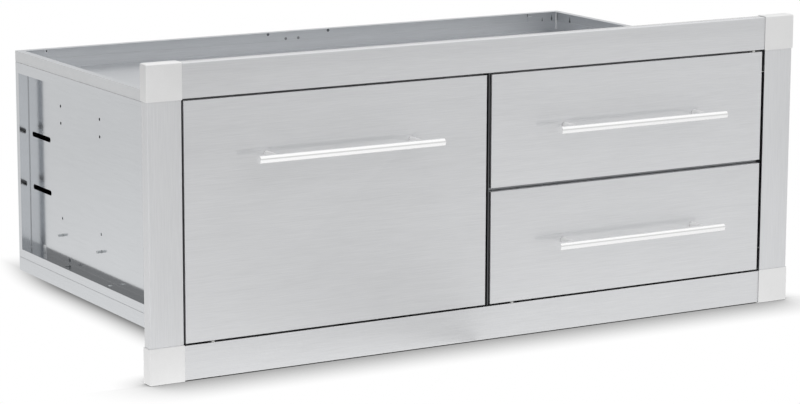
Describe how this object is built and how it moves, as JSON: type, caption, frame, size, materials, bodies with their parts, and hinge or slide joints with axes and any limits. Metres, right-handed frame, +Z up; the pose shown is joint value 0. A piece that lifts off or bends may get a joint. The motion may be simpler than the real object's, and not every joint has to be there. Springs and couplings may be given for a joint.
{
  "type": "outdoor kitchen drawer unit",
  "caption": "Built-in stainless drawer unit with a deep drawer beside two stacked shallow ones, inset in a trim frame on a folded sheet cabinet",
  "frame": {"origin": "on the rear face of the mounting flange, at the middle of the width, level with the rim that the cabinet stands on", "axes": "+X right along the front, +Y back into the island, +Z up"},
  "size_m": [1.0694, 0.6045, 0.4367],
  "materials": {
    "trim_steel": "brushed along each member",
    "cast_cap": "fine satin, rounded edges",
    "front_steel": "brushed along the width",
    "handle_steel": "smooth satin",
    "zinc_steel": "zinc plated",
    "bumper_rubber": "matte",
    "cabinet_steel": "plain mill finish, folded"
  },
  "bodies": {
    "cabinet": {"back_panel": "cabinet_steel", "bottom_tray": "cabinet_steel", "centre_divider": "cabinet_steel", "corner_cap_bottom_left": "cast_cap", "corner_cap_bottom_right": "cast_cap", "corner_cap_top_left": "cast_cap", "corner_cap_top_right": "cast_cap", "cross_rail": "cabinet_steel", "frame_bottom_rail": "trim_steel", "frame_left_stile": "trim_steel", "frame_right_stile": "trim_steel", "frame_top_rail": "trim_steel", "left_drawer_left_runner_fixed": "zinc_steel", "left_drawer_right_runner_fixed": "zinc_steel", "lower_drawer_left_runner_fixed": "zinc_steel", "lower_drawer_right_runner_fixed": "zinc_steel", "side_panel_left": "cabinet_steel", "side_panel_right": "cabinet_steel", "top_tray": "cabinet_steel", "upper_drawer_left_runner_fixed": "zinc_steel", "upper_drawer_right_runner_fixed": "zinc_steel"},
    "left_drawer": {"left_drawer_box": "cabinet_steel", "left_drawer_bumper": "bumper_rubber", "left_drawer_front": "front_steel", "left_drawer_handle_bar": "handle_steel", "left_drawer_left_post": "handle_steel", "left_drawer_left_runner_moving": "zinc_steel", "left_drawer_left_screw": "zinc_steel", "left_drawer_right_post": "handle_steel", "left_drawer_right_runner_moving": "zinc_steel", "left_drawer_right_screw": "zinc_steel"},
    "left_runner_stage": {"left_drawer_left_runner_middle": "zinc_steel", "left_drawer_right_runner_middle": "zinc_steel"},
    "lower_drawer": {"lower_drawer_box": "cabinet_steel", "lower_drawer_bumper": "bumper_rubber", "lower_drawer_front": "front_steel", "lower_drawer_handle_bar": "handle_steel", "lower_drawer_left_post": "handle_steel", "lower_drawer_left_runner_moving": "zinc_steel", "lower_drawer_left_screw": "zinc_steel", "lower_drawer_right_post": "handle_steel", "lower_drawer_right_runner_moving": "zinc_steel", "lower_drawer_right_screw": "zinc_steel"},
    "lower_runner_stage": {"lower_drawer_left_runner_middle": "zinc_steel", "lower_drawer_right_runner_middle": "zinc_steel"},
    "upper_drawer": {"upper_drawer_box": "cabinet_steel", "upper_drawer_bumper": "bumper_rubber", "upper_drawer_front": "front_steel", "upper_drawer_handle_bar": "handle_steel", "upper_drawer_left_post": "handle_steel", "upper_drawer_left_runner_moving": "zinc_steel", "upper_drawer_left_screw": "zinc_steel", "upper_drawer_right_post": "handle_steel", "upper_drawer_right_runner_moving": "zinc_steel", "upper_drawer_right_screw": "zinc_steel"},
    "upper_runner_stage": {"upper_drawer_left_runner_middle": "zinc_steel", "upper_drawer_right_runner_middle": "zinc_steel"}
  },
  "joints": [
    {"name": "left_drawer_slide", "type": "slide", "parent": "cabinet", "child": "left_drawer", "axis": [0, -1, 0], "range_m": [0, 0.5]},
    {"name": "left_runner_slide", "type": "slide", "parent": "cabinet", "child": "left_runner_stage", "axis": [0, -1, 0], "range_m": [0, 0.25]},
    {"name": "upper_drawer_slide", "type": "slide", "parent": "cabinet", "child": "upper_drawer", "axis": [0, -1, 0], "range_m": [0, 0.5]},
    {"name": "upper_runner_slide", "type": "slide", "parent": "cabinet", "child": "upper_runner_stage", "axis": [0, -1, 0], "range_m": [0, 0.25]},
    {"name": "lower_drawer_slide", "type": "slide", "parent": "cabinet", "child": "lower_drawer", "axis": [0, -1, 0], "range_m": [0, 0.5]},
    {"name": "lower_runner_slide", "type": "slide", "parent": "cabinet", "child": "lower_runner_stage", "axis": [0, -1, 0], "range_m": [0, 0.25]}
  ],
  "couplings": [
    {"joint": "left_runner_slide", "follows": "left_drawer_slide", "ratio": 0.5},
    {"joint": "upper_runner_slide", "follows": "upper_drawer_slide", "ratio": 0.5},
    {"joint": "lower_runner_slide", "follows": "lower_drawer_slide", "ratio": 0.5}
  ]
}
